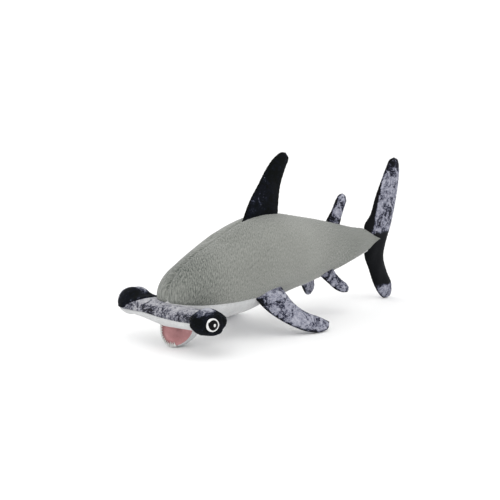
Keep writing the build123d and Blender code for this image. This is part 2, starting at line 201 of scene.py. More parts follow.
class Nodes:
    """Short hand for building one material's node tree."""

    def __init__(self, name, roughness, sheen, sheen_tint=(1, 1, 1, 1), specular=0.2):
        self.material = bpy.data.materials.new(name)
        self.material.use_nodes = True
        self.tree = self.material.node_tree
        self.shader = self.tree.nodes["Principled BSDF"]
        self.shader.inputs["Roughness"].default_value = roughness
        self.shader.inputs["Sheen Weight"].default_value = sheen
        self.shader.inputs["Sheen Roughness"].default_value = 0.45
        self.shader.inputs["Sheen Tint"].default_value = sheen_tint
        self.shader.inputs["Specular IOR Level"].default_value = specular
        self.place = self.tree.nodes.new("ShaderNodeTexCoord").outputs["Object"]

    def link(self, source, node, socket):
        self.tree.links.new(source, node.inputs[socket])

    def attribute(self, name, output):
        node = self.tree.nodes.new("ShaderNodeAttribute")
        node.attribute_name = name
        return node.outputs[output]

    def stretched(self, scale, place=None):
        node = self.tree.nodes.new("ShaderNodeMapping")
        node.inputs["Scale"].default_value = scale
        self.link(place or self.place, node, "Vector")
        return node.outputs["Vector"]

    def noise(self, scale, detail=2.0, roughness=0.5, distortion=0.0, place=None):
        node = self.tree.nodes.new("ShaderNodeTexNoise")
        node.inputs["Scale"].default_value = scale
        node.inputs["Detail"].default_value = detail
        node.inputs["Roughness"].default_value = roughness
        node.inputs["Distortion"].default_value = distortion
        self.link(place or self.place, node, "Vector")
        return node.outputs["Fac"]

    def ribs(self, spacing, distortion, place):
        """Knitted ribs, this many metres apart."""
        node = self.tree.nodes.new("ShaderNodeTexWave")
        node.bands_direction = "X"
        node.inputs["Scale"].default_value = 2 * math.pi / (20 * spacing)
        node.inputs["Distortion"].default_value = distortion
        node.inputs["Detail"].default_value = 2
        node.inputs["Detail Scale"].default_value = 1.5
        self.link(place, node, "Vector")
        return node.outputs["Fac"]

    def math(self, operation, a, b):
        node = self.tree.nodes.new("ShaderNodeMath")
        node.operation = operation
        for k, value in enumerate((a, b)):
            if isinstance(value, (int, float)):
                node.inputs[k].default_value = value
            else:
                self.tree.links.new(value, node.inputs[k])
        return node.outputs[0]

    def ramp(self, source, stops):
        node = self.tree.nodes.new("ShaderNodeValToRGB")
        for k, (place, colour) in enumerate(stops):
            stop = node.color_ramp.elements[k] if k < 2 else node.color_ramp.elements.new(place)
            stop.position = place
            stop.color = (*colour, 1)
        self.link(source, node, "Fac")
        return node.outputs["Color"]

    def multiply(self, a, b):
        node = self.tree.nodes.new("ShaderNodeMix")
        node.data_type, node.blend_type = "RGBA", "MULTIPLY"
        node.inputs["Factor"].default_value = 1.0
        self.tree.links.new(a, node.inputs[6])
        self.tree.links.new(b, node.inputs[7])
        return node.outputs[2]

    def tone(self):
        return self.attribute("tone", "Fac")

    def finish(self, colour, height, depth, strength):
        """Join the colour and a bump of this depth in metres to the shader."""
        bump = self.tree.nodes.new("ShaderNodeBump")
        bump.inputs["Distance"].default_value = depth
        bump.inputs["Strength"].default_value = strength
        self.link(height, bump, "Height")
        self.link(bump.outputs["Normal"], self.shader, "Normal")
        self.link(colour, self.shader, "Base Color")
        return self.material


def grey_plush():
    """Warm grey plush whose nap shows as short strokes around the body."""
    n = Nodes("grey_ribbed_plush", 0.9, 0.25)
    weave = n.attribute("weave", "Vector")
    strokes = n.noise(200, 3, 0.6, 0.0, n.stretched((3.8, 1.5, 1.0), weave))
    ribs = n.ribs(RIB_SPACING, 3.0, weave)
    strokes = n.math("ADD", n.math("MULTIPLY", strokes, 0.95), n.math("MULTIPLY", ribs, 0.05))
    fibre = n.noise(1500, 2, 0.6)
    clouds = n.noise(14, 3, 0.5)
    strength = n.math("ADD", n.math("MULTIPLY", n.tone(), -4.0), 0.40)
    centred = n.math("MULTIPLY", n.math("SUBTRACT", strokes, 0.5), strength)
    mixed = n.math("ADD", n.math("ADD", centred, 0.36), n.math("MULTIPLY", fibre, 0.28))
    mixed = n.math("ADD", mixed, n.tone())
    colour = n.ramp(mixed, [
        (0.26, (0.062, 0.074, 0.064)), (0.50, (0.265, 0.272, 0.25)), (0.80, (0.46, 0.465, 0.43)),
    ])
    shade = n.ramp(clouds, [(0.3, (0.88, 0.88, 0.88)), (0.7, (1, 1, 1))])
    return n.finish(n.multiply(colour, shade), mixed, 0.0012, 0.7)


def white_plush():
    """White short plush, a little shadowed between its fibres."""
    n = Nodes("white_plush", 0.9, 0.3)
    fibre = n.noise(1100, 3, 0.6)
    clouds = n.noise(30, 3, 0.55)
    mixed = n.math("ADD", n.math("MULTIPLY", fibre, 0.6), n.math("MULTIPLY", clouds, 0.4))
    colour = n.ramp(mixed, [
        (0.3, (0.42, 0.425, 0.43)), (0.6, (0.62, 0.625, 0.63)), (0.8, (0.74, 0.74, 0.74)),
    ])
    return n.finish(colour, fibre, 0.0006, 0.5)


def mottled_velour(name, stops, sheen, flecked, specular=0.2):
    """Short velour printed with dark and lavender clouds; the tone attribute shifts its balance."""
    n = Nodes(name, 0.8, sheen, (0.85, 0.87, 1, 1), specular)
    clouds = n.noise(64, 7, 0.64, 1.6)
    streaks = n.noise(230, 5, 0.65, 2.0, n.stretched((1.0, 0.5, 1.0)))
    fibre = n.noise(1400, 2, 0.6)
    mixed = n.math("ADD", n.math("MULTIPLY", clouds, 0.62), n.math("MULTIPLY", streaks, 0.33))
    mixed = n.math("ADD", mixed, n.math("MULTIPLY", fibre, 0.05))
    flecks = n.math("MAXIMUM", n.math("SUBTRACT", n.noise(560, 1, 0.5), 0.63), 0.0)
    mixed = n.math("ADD", mixed, n.math("MULTIPLY", flecks, flecked))
    colour = n.ramp(n.math("ADD", mixed, n.tone()), stops)
    pile = n.ramp(fibre, [(0.3, (0.8, 0.8, 0.8)), (0.6, (1, 1, 1))])
    return n.finish(n.multiply(colour, pile), fibre, 0.0006, 0.5)


def pink_velour():
    n = Nodes("pink_velour", 0.85, 0.35, (1, 0.8, 0.8, 1))
    fibre = n.noise(1300, 3, 0.6)
    clouds = n.noise(60, 3, 0.5)
    mixed = n.math("ADD", n.math("MULTIPLY", fibre, 0.4), n.math("MULTIPLY", clouds, 0.6))
    colour = n.ramp(mixed, [
        (0.3, (0.36, 0.16, 0.165)), (0.55, (0.5, 0.25, 0.255)), (0.75, (0.6, 0.33, 0.335)),
    ])
    return n.finish(colour, fibre, 0.0005, 0.5)


def felt():
    n = Nodes("white_felt", 0.95, 0.2)
    fibre = n.noise(900, 5, 0.7, 1.5)
    colour = n.ramp(fibre, [(0.3, (0.6, 0.6, 0.58)), (0.7, (0.85, 0.85, 0.83))])
    return n.finish(colour, fibre, 0.0004, 0.5)


def thread(name, dark, light, roughness, specular=0.2):
    """Embroidery thread with a fine twist."""
    n = Nodes(name, roughness, 0.05, specular=specular)
    twist = n.noise(2400, 2, 0.5)
    colour = n.ramp(twist, [(0.3, dark), (0.7, light)])
    return n.finish(colour, twist, 0.0002, 0.4)


def fibre_fill():
    n = Nodes("fibre_fill", 0.95, 0.2)
    tangle = n.noise(300, 6, 0.75, 2.0)
    colour = n.ramp(tangle, [(0.3, (0.55, 0.55, 0.55)), (0.7, (0.85, 0.85, 0.85))])
    return n.finish(colour, tangle, 0.002, 0.8)


LIGHT_STOPS = [
    (0.40, (0.0025, 0.003, 0.004)), (0.46, (0.03, 0.032, 0.055)), (0.505, (0.22, 0.225, 0.285)),
    (0.62, (0.44, 0.445, 0.51)),
]
HEAD_STOPS = [
    (0.38, (0.004, 0.004, 0.007)), (0.445, (0.07, 0.072, 0.10)), (0.485, (0.28, 0.28, 0.315)),
    (0.60, (0.50, 0.50, 0.52)),
]
DARK_STOPS = [
    (0.45, (0.0012, 0.002, 0.002)), (0.60, (0.004, 0.0055, 0.011)), (0.665, (0.05, 0.055, 0.085)),
    (0.78, (0.40, 0.41, 0.46)),
]
GREY = grey_plush()
WHITE = white_plush()
MOTTLED = mottled_velour("mottled_velour", LIGHT_STOPS, 0.05, 1.0, specular=0.08)
HEAD_TOP = mottled_velour("mottled_head_velour", HEAD_STOPS, 0.08, 1.0)
DARK = mottled_velour("dark_velour", DARK_STOPS, 0.0, 0.9, specular=0.08)
PINK = pink_velour()
FELT = felt()
WHITE_THREAD = thread("white_thread", (0.6, 0.6, 0.6), (0.85, 0.85, 0.85), 0.5)
BLACK_THREAD = thread("black_thread", (0.0015, 0.0015, 0.002), (0.006, 0.006, 0.007), 0.6, specular=0.06)
FILL = fibre_fill()


# ---------------------------------------------------------------- body

TAIL_V = (427, 3, 40)       # where the grey fabric ends, its lean from spine to belly, and reach of its V
SPINE_FOLD = 108            # distance of a fold beside the spine seam
PANEL_ROWS = 420
TORSO_PADDING = 4.0         # from the fabric down to the filling
WEAVE_LEAN = (0.83, 0.55)   # how the ribs' spacing follows the body's length and its width
WEAVE_APART = 300           # keeps the right panel's pattern from mirroring the left's


def body_shape(distance, theta, inset=0.0):
    """Body surface; theta runs from the spine over the left side."""
    top, low = smooth(BODY, distance, 1) - inset, smooth(BODY, distance, 2) + inset
    half = np.maximum(smooth(BODY, distance, 3) - inset, 0.3)
    middle, tall = (top + low) / 2, np.maximum((top - low) / 2, 0.3)
    return np.stack([half * np.sin(theta), y_at(distance), middle + tall * np.cos(theta)], -1)


def seam_angle(distance):
    """Angle from the spine down to the side seam."""
    top, low = smooth(BODY, distance, 1), smooth(BODY, distance, 2)
    share = (smooth(SIDE_SEAM, distance, 1) - (top + low) / 2) / ((top - low) / 2)
    return np.arccos(np.clip(share, -0.985, 0.2))


def fabric_end(theta):
    """Where the grey fabric ends: a V on each side of the tail."""
    middle, lean, reach = TAIL_V
    return middle - lean * np.cos(theta) + reach * (1 - np.abs(np.cos(theta)))


def body_panel(first, last, rows, columns):
    """Grid between two angles, given as functions of the distance along the body."""
    start = BODY[0, 0]
    u = np.linspace(0, 1, rows)[:, None] ** 1.15
    v = np.linspace(0, 1, columns)[None, :]
    distance = start + (TAIL_V[0] - start) * u + 0 * v
    for _ in range(4):
        theta = first(distance) * (1 - v) + last(distance) * v
        distance = start + (fabric_end(theta) - start) * u
    return body_shape(distance, theta), distance, theta


def body_outward(P):
    out = P.copy()
    out[..., 1] = 0
    out[..., 2] -= BODY_AXIS
    return out


def spine_angle(distance):
    return 0 * distance


def far_seam_angle(distance):
    return 2 * math.pi - seam_angle(distance)


def fold_beside_spine(P, distance, theta):
    along_back, down_side = (distance - SPINE_FOLD) / 9.0, (theta - 0.26) / 0.16
    P[..., 2] -= 2.6 * np.exp(-(along_back**2) - down_side**2)
    P[..., 2] += 1.6 * np.exp(-((along_back - 1.5) ** 2) - (down_side - 0.4) ** 2)


def back_tone(distance, theta):
    """Darker near the head, on the shoulders, towards the tail and along the spine."""
    head = np.exp(-(((distance - 40) / 38.0) ** 2))
    shoulders = np.exp(-(((distance - 120) / 70.0) ** 2))
    tone = -0.09 * head - 0.03 * shoulders - 0.095 * ramp_up(distance, 240, 370)
    return tone - 0.03 * ramp_up(-theta, -0.9, -0.2)


def back_weave(P, side):
    """Place in the fabric, in metres: across the ribs, and down the side from the spine."""
    down_side = across_lengths(P)[0]
    along, around = WEAVE_LEAN
    ribwise = along * P[..., 1] + around * np.abs(P[..., 0])
    apart = 0 if side > 0 else WEAVE_APART
    return np.stack([ribwise, down_side, 0 * down_side + apart], -1) * MM


def make_back(side_name, side):
    """Grey fabric of one side, from the spine to the side seam and back to the tail's V."""
    P, distance, theta = body_panel(spine_angle, seam_angle, PANEL_ROWS, 110)
    P[..., 0] *= side
    P = sewn(P, body_outward, depth=1.7, width=2.4, lump=0.9, seed=11 + side)
    fold_beside_spine(P, distance, theta)
    tuck = np.clip((distance - fabric_end(theta) + 2.0) / 2.0, 0, 1)     # the last 2 mm turn in
    P[..., 0] -= side * 1.2 * tuck**2
    skin = grid_object(f"back_{side_name}", P, GREY, back_tone(distance, theta), flip=side < 0,
                       weave=back_weave(P, side))
    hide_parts(f"back_panel_{side_name}", f"tail_panel_{side_name}")
    bend_tail(skin)


def make_belly():
    P, _, _ = body_panel(seam_angle, far_seam_angle, PANEL_ROWS, 80)
    P = sewn(P, body_outward, depth=1.7, width=2.4, lump=0.8, seed=31)
    belly = grid_object("belly", P, WHITE)
    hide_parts("belly_panel", "tail_belly_panel")
    bend_tail(belly)


def make_body_filling():
    distance = np.linspace(20, 424, 160)[:, None]
    theta = np.linspace(0, 2 * math.pi, 65)[None, :]
    P = body_shape(distance + 0 * theta, theta + 0 * distance, TORSO_PADDING)
    fill = grid_object("body_filling", P, FILL)
    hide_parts("torso_filling", "tail_filling")
    bend_tail(fill)


def make_body():
    make_back("left", 1)
    make_back("right", -1)
    make_belly()
    make_body_filling()


def bend_tail(piece):
    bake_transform(piece)


# ---------------------------------------------------------------- hammer

TUCKED_IN = 0.6             # the panels run this far under the pods
HAMMER_PADDING = 3.5
PANEL_HALF_ROWS = 170


def hammer_shape(x, phi, inset=0.0):
    """Hammer surface; phi runs from the front edge over the top to the rear and back below."""
    away = np.abs(x)
    middle = smooth(HAMMER, away, 1) - x * HAMMER_TILT
    chord = np.maximum(smooth(HAMMER, away, 2) - inset, 0.2)
    thick = np.maximum(smooth(HAMMER, away, 3) - inset, 0.2)
    pitch = LOBE_PITCH * ramp_up(-x, *LOBE_TWIST)
    ahead, up = -chord * np.cos(phi), thick * np.sin(phi)
    y = y_at(HAMMER_MIDDLE) + ahead * np.cos(pitch) - up * np.sin(pitch)
    return np.stack([x + 0 * phi, y, middle + up * np.cos(pitch) + ahead * np.sin(pitch)], -1)


def pod_seam(phi, side):
    """How far out the dark pod is sewn on, round the hammer's section."""
    if side > 0:
        return POD_START + 0 * phi
    turn = np.mod(phi + 0.6, 2 * math.pi) - 0.6
    top = 63 - 28 * ramp_up(turn, 0.1, 1.7)
    below = np.maximum(1 - ramp_up(turn, -0.25, 0.15), ramp_up(turn, 3.2, 4.2))
    return top + (84 - top) * below


def hammer_outward(P):
    out = P.copy()
    out[..., 0] = 0
    out[..., 1] -= y_at(HAMMER_MIDDLE)
    out[..., 2] -= HAMMER_AXIS
    return out


def hammer_panel(low_phi, high_phi, rows, columns, seed):
    """Panel across the hammer from pod to pod, sewn at the front and the rear."""
    phi = np.linspace(low_phi, high_phi, columns)[None, :]
    share = np.linspace(-1, 1, rows)[:, None]
    x = share * np.where(share > 0, pod_seam(phi, 1) + TUCKED_IN, pod_seam(phi, -1) + TUCKED_IN)
    return sewn(hammer_shape(x, phi + 0 * x), hammer_outward, depth=1.5, width=2.0, pitch=7.0, pucker=0.5,
                lump=0.6, seed=seed)


def hammer_tone(P):
    """Dark streaks along the front seam and beside the pods, whitish next to the grey back."""
    x, y = P[..., 0], P[..., 1]
    front = np.exp(-(((y - y_at(2)) / 7.0) ** 2))
    beside = 1.5 * np.exp(-(((x - 50) / 9.0) ** 2)) + 0.6 * np.exp(-(((x + 56) / 12.0) ** 2))
    rear = ramp_up(y, y_at(12), y_at(34))
    return 0.022 - 0.085 * front - 0.13 * beside * rear + 0.06 * rear


def make_hammer_panels(name, material, first, last, seed):
    """One fabric of the hammer, cut in two at its middle, a half for each lobe."""
    P = hammer_panel(first, last, PANEL_HALF_ROWS * 2 + 1, 90, seed)
    normals = surface_normals(P)
    if np.sum(normals * hammer_outward(P)) < 0:
        normals = -normals
    for side_name, side in (("left", 1), ("right", -1)):
        rows = slice(PANEL_HALF_ROWS, None) if side > 0 else slice(0, PANEL_HALF_ROWS + 1)
        part = P[rows]
        flip = np.sum(surface_normals(part) * hammer_outward(part)) > 0
        skin = grid_object(f"{name}_{side_name}_half", part, material, hammer_tone(part), normals[rows],
                           flip)
        nodes = [f"{name}_{side_name}"] + ([f"{name}_centre"] if side > 0 else [])
        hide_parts(*nodes)
        bend_lobe(skin)


def make_hammer_fill(side_name, side):
    x = side * np.linspace(0.5, 84, 60)[:, None]
    phi = np.linspace(0, 2 * math.pi, 49)[None, :]
    P = hammer_shape(x + 0 * phi, phi + 0 * x, HAMMER_PADDING)
    fill = grid_object(f"hammer_fill_{side_name}", P, FILL)
    nodes = [f"hammer_filling_{side_name}"] + (["hammer_filling_centre"] if side > 0 else [])
    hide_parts(*nodes)
    bend_lobe(fill)


def make_hammer():
    make_hammer_panels("hammer_top", HEAD_TOP, FRONT_SEAM, math.pi + REAR_SEAM, 41)
    make_hammer_panels("hammer_under", WHITE, FRONT_SEAM, REAR_SEAM - math.pi, 51)
    for side_name, side in (("left", 1), ("right", -1)):
        make_pod(side_name, side)
        make_eye(side_name, side)
        make_hammer_fill(side_name, side)


def bend_lobe(piece):
    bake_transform(piece)


# ---------------------------------------------------------------- eye pods

def pod_swell(P, phi, from_seam, ahead):
    """How far the pod's fabric stands out: sunk at its seam, creased across its front, lumpy."""
    crease = ((ahead - 8.5 + 0.15 * (P[..., 2] - 50)) / 2.3) ** 2
    swell = -1.5 * np.exp(-((from_seam / 2.0) ** 2)) + 1.0 * np.exp(-(((from_seam - 7) / 5) ** 2))
    swell -= 1.9 * np.exp(-crease) * ramp_up(from_seam, 4, 16)
    wrinkle = 0.45 * np.sin(26 * phi + 2 * waves(P, 25, 7))
    wrinkle = wrinkle * np.exp(-from_seam / 5) * (1 - np.exp(-from_seam / 0.8))
    lumps = 0.5 * waves(P, 26, 5) * (1 - np.exp(-from_seam / 6))
    return swell + wrinkle + lumps


def near_pod_painted_highlight(P, away, ahead):
    """Painted highlight on the left pod's top, shifting its print towards lavender."""
    return 0.36 * ramp_up(P[..., 2], 46, 55) * np.exp(-(((away - 71) / 9) ** 2) - ((ahead + 3) / 12) ** 2)


def far_pod_painted_highlight(P, middle, away, ahead):
    """Painted highlight along the right pod's raised rear edge and on the top of its tip."""
    lit_ridge = ramp_up(P[..., 2] - middle[..., 2], 8, 15) * ramp_up(ahead, -4, 12)
    tip = ramp_up(away, 76, 86) * ramp_up(P[..., 2], 52, 60)
    return 0.03 + 0.25 * lit_ridge * ramp_up(away, 48, 66) + 0.20 * tip


def make_pod(side_name, side):
    """Dark padded cap on the end of the hammer."""
    phi = np.linspace(0, 2 * math.pi, 181)[None, :]
    seam = pod_seam(phi, side)
    away = seam + (POD_END - seam) * np.sin(np.linspace(0, math.pi / 2, 110))[:, None]
    P = hammer_shape(side * away, phi + 0 * away)
    middle = hammer_shape(side * away, phi + 0 * away, 99)
    out = P - middle
    size = np.linalg.norm(out, axis=-1, keepdims=True)
    out /= np.maximum(size, 1e-6)
    from_seam = away - seam
    ahead = P[..., 1] - y_at(HAMMER_MIDDLE)
    room = 1 - np.exp(-size[..., 0] / 4)
    P = P + out * (pod_swell(P, phi, from_seam, ahead) * room)[..., None]
    if side > 0:
        taper = ramp_up(ahead, 4, 24) * ramp_up(from_seam, 0, 10)
        P[..., 2] += 0.38 * taper * (middle[..., 2] + 1.5 - P[..., 2])
        P[..., 1] += 3.0 * taper
        # painted highlight on the left pod's top
        tone = near_pod_painted_highlight(P, away, ahead)
    else:
        # painted highlight on the right pod's raised rear edge and tip
        tone = far_pod_painted_highlight(P, middle, away, ahead)
    pod = grid_object(f"pod_{side_name}", P, DARK, tone, flip=side > 0)
    weld(pod)
    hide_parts(f"eye_pod_{side_name}")
    if side > 0:
        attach(pod, f"hammer_lobe_{side_name}")
    else:
        bend_lobe(pod)


# ---------------------------------------------------------------- eyes

EYE_CENTRE = (-9.2, 0.8)      # towards the nose and down, from the middle of the pod's end
EYE_RING = 8.7                # outer radius of the white ring
EYE_PUPIL = 6.5               # radius of the black centre
GLINT = 1.5
STITCHES = 72                 # round the ring
THREAD_PITCH = 0.55           # between the rows of thread on the pupil


def pod_surface(side, ahead, up):
    """Point of the pod's outer end, this far along the shark and up from the pod's middle."""
    away = np.linspace(POD_START + 6, POD_END, 400)
    chord, thick = smooth(HAMMER, away, 2), smooth(HAMMER, away, 3)
    reach = (ahead[..., None] / chord) ** 2 + (up[..., None] / thick) ** 2
    last = (reach <= 1).sum(-1).clip(1, len(away) - 1)
    x = away[last - 1]
    height = smooth(HAMMER, x, 1) - side * x * HAMMER_TILT
    pitch = LOBE_PITCH if side < 0 else 0.0
    y = y_at(HAMMER_MIDDLE) + ahead * math.cos(pitch) - up * math.sin(pitch)
    return np.stack([side * x, y, height + up * math.cos(pitch) + ahead * math.sin(pitch)], -1)


def eye_patch(side, radius, angle, lift):
    """Points of the eye in polar form, laid on the pod and lifted off it."""
    ahead = EYE_CENTRE[0] + radius * np.cos(angle)
    up = EYE_CENTRE[1] + radius * np.sin(angle)
    P = pod_surface(side, ahead, up)
    P[..., 0] += side * lift
    return P


def make_eye(side_name, side):
    """Satin-stitched white ring, black centre and white glint, all raised thread."""
    body = f"hammer_lobe_{side_name}"
    angle = np.linspace(0, 2 * math.pi, 361)[None, :]
    across = np.linspace(0, 1, 15)[:, None]
    stitches = 0.10 * np.sin(STITCHES * angle)
    ring_radius = EYE_PUPIL - 0.3 + (EYE_RING - EYE_PUPIL + 0.3) * across + 0 * angle
    lift = -0.4 + (1.5 + stitches) * np.sin(math.pi * across) ** 0.6
    P = eye_patch(side, ring_radius, angle + 0 * across, lift)
    ring = grid_object(f"eye_{side_name}_ring", P, WHITE_THREAD, flip=side < 0)
    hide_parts(f"eye_ring_{side_name}")
    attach(ring, body)

    radius = (EYE_PUPIL + 0.1) * np.linspace(0.01, 1, 26)[:, None] + 0 * angle
    rows = 0.07 * np.sin(2 * math.pi * radius * np.sin(angle) / THREAD_PITCH)
    lift = 0.55 + 0.45 * (1 - (radius / EYE_PUPIL) ** 2) + rows
    P = eye_patch(side, radius, angle + 0 * radius, lift)
    pupil = grid_object(f"eye_{side_name}_pupil", P, BLACK_THREAD, flip=side < 0)
    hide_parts(f"eye_pupil_{side_name}")
    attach(pupil, body)

    spread = GLINT * np.linspace(0.02, 1, 10)[:, None] + 0 * angle
    ahead = 1.2 + 1.1 * spread * np.cos(angle)
    up = -0.2 + 1.35 * spread * np.sin(angle)
    P = pod_surface(side, EYE_CENTRE[0] + ahead, EYE_CENTRE[1] + up)
    P[..., 0] += side * (1.0 + 0.5 * (1 - (spread / GLINT) ** 2))
    glint = grid_object(f"eye_{side_name}_glint", P, WHITE_THREAD, flip=side < 0)
    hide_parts(f"eye_glint_{side_name}")
    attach(glint, body)


# ---------------------------------------------------------------- lower jaw

JAW_REACH = math.radians(104)                               # from the bottom up to each lip corner
JAW_PADDING = 2.2
TEETH = 12
TOOTH_HEIGHT = 5.0
TEETH_FIRST, TEETH_SPAN = math.radians(-96), math.radians(120)
LIP_ROLL_ROWS = 9


def jaw_surface(distance, theta, grow=0.0):
    """Outside of the lower jaw; theta is 0 at the bottom and positive on the left."""
    half, tall = smooth(JAW, distance, 2) + grow, smooth(JAW, distance, 3) + grow
    height = smooth(JAW, distance, 1) - tall * np.cos(theta)
    return np.stack([half * np.sin(theta), y_at(distance) + 0 * theta, height], -1)


def lip_distance(theta):
    """The lip runs back towards its left corner."""
    return JAW[0, 0] + 16 * ramp_up(theta, 0.1, 1.6) + 2 * ramp_up(-theta, 0.6, 1.7)


def jaw_rim():
    """Angles round the lip, and the lip's distance at each."""
    theta = np.linspace(-JAW_REACH, JAW_REACH, 141)[None, :]
    return theta, lip_distance(theta)


def jaw_sides(shares, grow=0.0):
    """Surface of the jaw at these shares of the way from the lip to its rear end."""
    theta, lip = jaw_rim()
    back = shares[:, None]
    return jaw_surface(lip + (JAW[-1, 0] - lip) * back, theta + 0 * back, grow)


def rounded_lip():
    """Rows of points over the lip's edge, from inside the mouth to the outside."""
    theta, lip = jaw_rim()
    rim = jaw_surface(lip, theta)
    out = rim - jaw_surface(lip, theta, -1.0)
    forward = np.array([0, -1.0, 0])
    roll = np.linspace(0, math.pi / 2, LIP_ROLL_ROWS)[:, None, None]
    return rim - 0.7 * out * (1 - np.sin(roll)) + 1.2 * forward * np.cos(roll)


def make_jaw_cover(lip):
    P = np.concatenate([lip, jaw_sides(np.linspace(0, 1, 70)[1:])])
    below_lip = np.arange(len(P))[:, None] > LIP_ROLL_ROWS + 1
    P = P + below_lip[..., None] * surface_normals(P) * 0.5 * waves(P, 22, 61)[..., None]
    cover = grid_object("jaw_skin", P, WHITE, flip=True)
    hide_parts("jaw_cover")
    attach(cover, "torso")


def make_mouth_lining(lip):
    """Pink fabric from the lip's inner edge to the throat, sagging a little."""
    share = np.linspace(0, 1, 60)[:, None, None]
    start = lip[:1]
    P = start + (THROAT - start) * share
    sag = np.sin(math.pi * share[..., 0])
    P[..., 1] -= 5.0 * sag**1.2
    P[..., 2] -= 2.5 * sag
    P += surface_normals(P) * (0.5 * waves(P, 15, 63) * sag)[..., None]
    lining = grid_object("mouth_lining_skin", P, PINK)
    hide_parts("mouth_lining")
    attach(lining, "torso")


def make_jaw_filling():
    P = jaw_sides(np.linspace(0.05, 0.93, 40), -JAW_PADDING)
    fill = grid_object("jaw_fill", P, FILL, flip=True)
    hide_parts("jaw_filling")
    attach(fill, "torso")


def make_teeth():
    """Small felt points along the lower lip, leaning forwards and in over the mouth."""
    share = np.linspace(0, 1, TEETH * 12 + 1)
    theta = TEETH_FIRST + TEETH_SPAN * share
    zigzag = 1 - np.abs(2 * ((share * TEETH) % 1) - 1)
    wobble = 0.7 * np.sin(17 * share) + 0.5 * np.sin(41 * share)
    rim = jaw_surface(lip_distance(theta), theta, -0.4)
    inward = THROAT - rim
    inward[..., 1] = 0
    inward /= np.linalg.norm(inward, axis=-1, keepdims=True)
    tall = (0.3 + (TOOTH_HEIGHT + wobble) * zigzag)[:, None]
    front, back = np.array([0, -2.3, 0]), np.array([0, -1.4, 0])
    lean = np.array([0, -1.6, 0])
    base, tip = rim - inward * 0.9, rim + inward * tall
    loop = [base + front, tip + front + lean, tip + back + lean, base + back, base + front]
    strip = grid_object("lip_teeth", np.stack(loop, axis=1), FELT)
    weld(strip)
    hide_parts("teeth_strip")
    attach(strip, "torso")


def make_jaw():
    lip = rounded_lip()
    make_jaw_cover(lip)
    make_mouth_lining(lip)
    make_jaw_filling()
    make_teeth()


# ---------------------------------------------------------------- fins

FIN_PADDING = 1.6
EDGE_PITCH = 7.5            # between the puckers along a fin's seam


class FinPlane:
    """Plane of a fin: root point, direction along the root, direction out of the body."""

    def __init__(self, root, root_line, outwards):
        self.root = np.array(root, float)
        u = np.array(root_line, float)
        self.u = u / np.linalg.norm(u)
        w = np.array(outwards, float)
        w -= self.u * (w @ self.u)
        self.w = w / np.linalg.norm(w)
        self.n = np.cross(self.u, self.w)

    def point(self, a, b, c):
        return self.root + a[..., None] * self.u + b[..., None] * self.w + c[..., None] * self.n


def fin_grid(plane, lead, trail, thick, side, seed, inset=0.0, rows=150, columns=60, both_tips=False):
    """One panel of a padded fin, from its leading seam to its trailing seam."""
    t = np.linspace(0, 1, rows)
    t = (1 - np.cos(math.pi * t)) / 2 if both_tips else np.sin(math.pi / 2 * t)
    front, rear = spline(lead, t), spline(trail, t)
    q = -np.cos(np.linspace(0, math.pi, columns))[None, :]
    middle, half = (front + rear) / 2, (rear - front) / 2
    width = np.linalg.norm(half, axis=-1)[:, None]
    keep = np.clip(1 - inset / np.maximum(width, 0.01), 0.02, 1)
    flat = middle[:, None, :] + half[:, None, :] * (q * keep)[..., None]
    run = np.abs(t - 0.5) * 2 if both_tips else t
    plump = np.minimum(np.sqrt(np.clip(1 - run**2, 0, 1)) * 1.5, 1)[:, None] * np.minimum(width / 9.0, 1)
    rise = (thick / 2 - inset) * plump * (1 - np.abs(q) ** 2.4) ** 0.62
    a, b = flat[..., 0], flat[..., 1]
    edge = (1 - np.abs(q)) * width
    flat_points = plane.point(a, b, 0 * a)
    steps = np.diff(flat_points, axis=0, prepend=flat_points[:1])
    along_edge = np.cumsum(np.linalg.norm(steps, axis=-1), axis=0)
    phase = 2 * math.pi * along_edge / EDGE_PITCH + 2 * waves(flat_points, 25, seed)
    if not inset:
        rise = rise + 0.35 * np.sin(phase) * np.exp(-edge / 4) * (1 - np.exp(-edge / 0.7)) * plump
        rise = rise + 0.5 * waves(flat_points, 28, seed + 3) * (1 - np.exp(-edge / 6)) * plump
    P = plane.point(a, b, side * np.maximum(rise, 0))
    return P, a, b, edge


def make_fin(name, plane, lead, trail, thick, material, tone, panels, seed,
             both_tips=False):
    """Two panels and the filling of a fin; panels names the one on the plane's normal side first.

    lead and trail are its outlines from root to tip, and tone the fabric's shade, all in the fin's plane.
    """
    for panel, side in zip(panels, (1, -1)):
        P, a, b, edge = fin_grid(plane, lead, trail, thick, side, seed, both_tips=both_tips)
        values = tone(a, b) - 0.10 * np.exp(-((edge / 1.6) ** 2))
        skin = grid_object(f"{name}_{panel}", P, material, values, flip=side > 0)
        weld(skin)
        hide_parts(f"{name}_{panel}_panel")
        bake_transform(skin)
    one, other = (fin_grid(plane, lead, trail, thick, side, seed, FIN_PADDING, 60, 24, both_tips)[0]
                  for side in (1, -1))
    P = np.concatenate([one, other[:, ::-1]], axis=1)
    fill = grid_object(f"{name}_fill", P, FILL)
    weld(fill)
    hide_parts(f"{name}_filling")
    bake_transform(fill)


def first_dorsal_tone(a, b):
    """Dark, with a faint cloud low behind its leading edge."""
    return 0.11 * np.exp(-(((a - 0.55 * b + 28) / 16) ** 2) - ((b - 22) / 26) ** 2) - 0.02


def second_dorsal_tone(a, b):
    """Dark at the root and in a band near the tip."""
    return 0.03 - 0.14 * np.exp(-(((b - 3) / 4) ** 2)) - 0.09 * np.exp(-(((b - 32) / 7) ** 2))


def pectoral_tone(a, b):
    """Dark where the leading edge meets the body."""
    return 0.02 - 0.16 * np.exp(-(((a + 24) / 9) ** 2) - ((b - 3) / 9) ** 2)


def pelvic_tone(a, b):
    return 0.01 + 0 * a


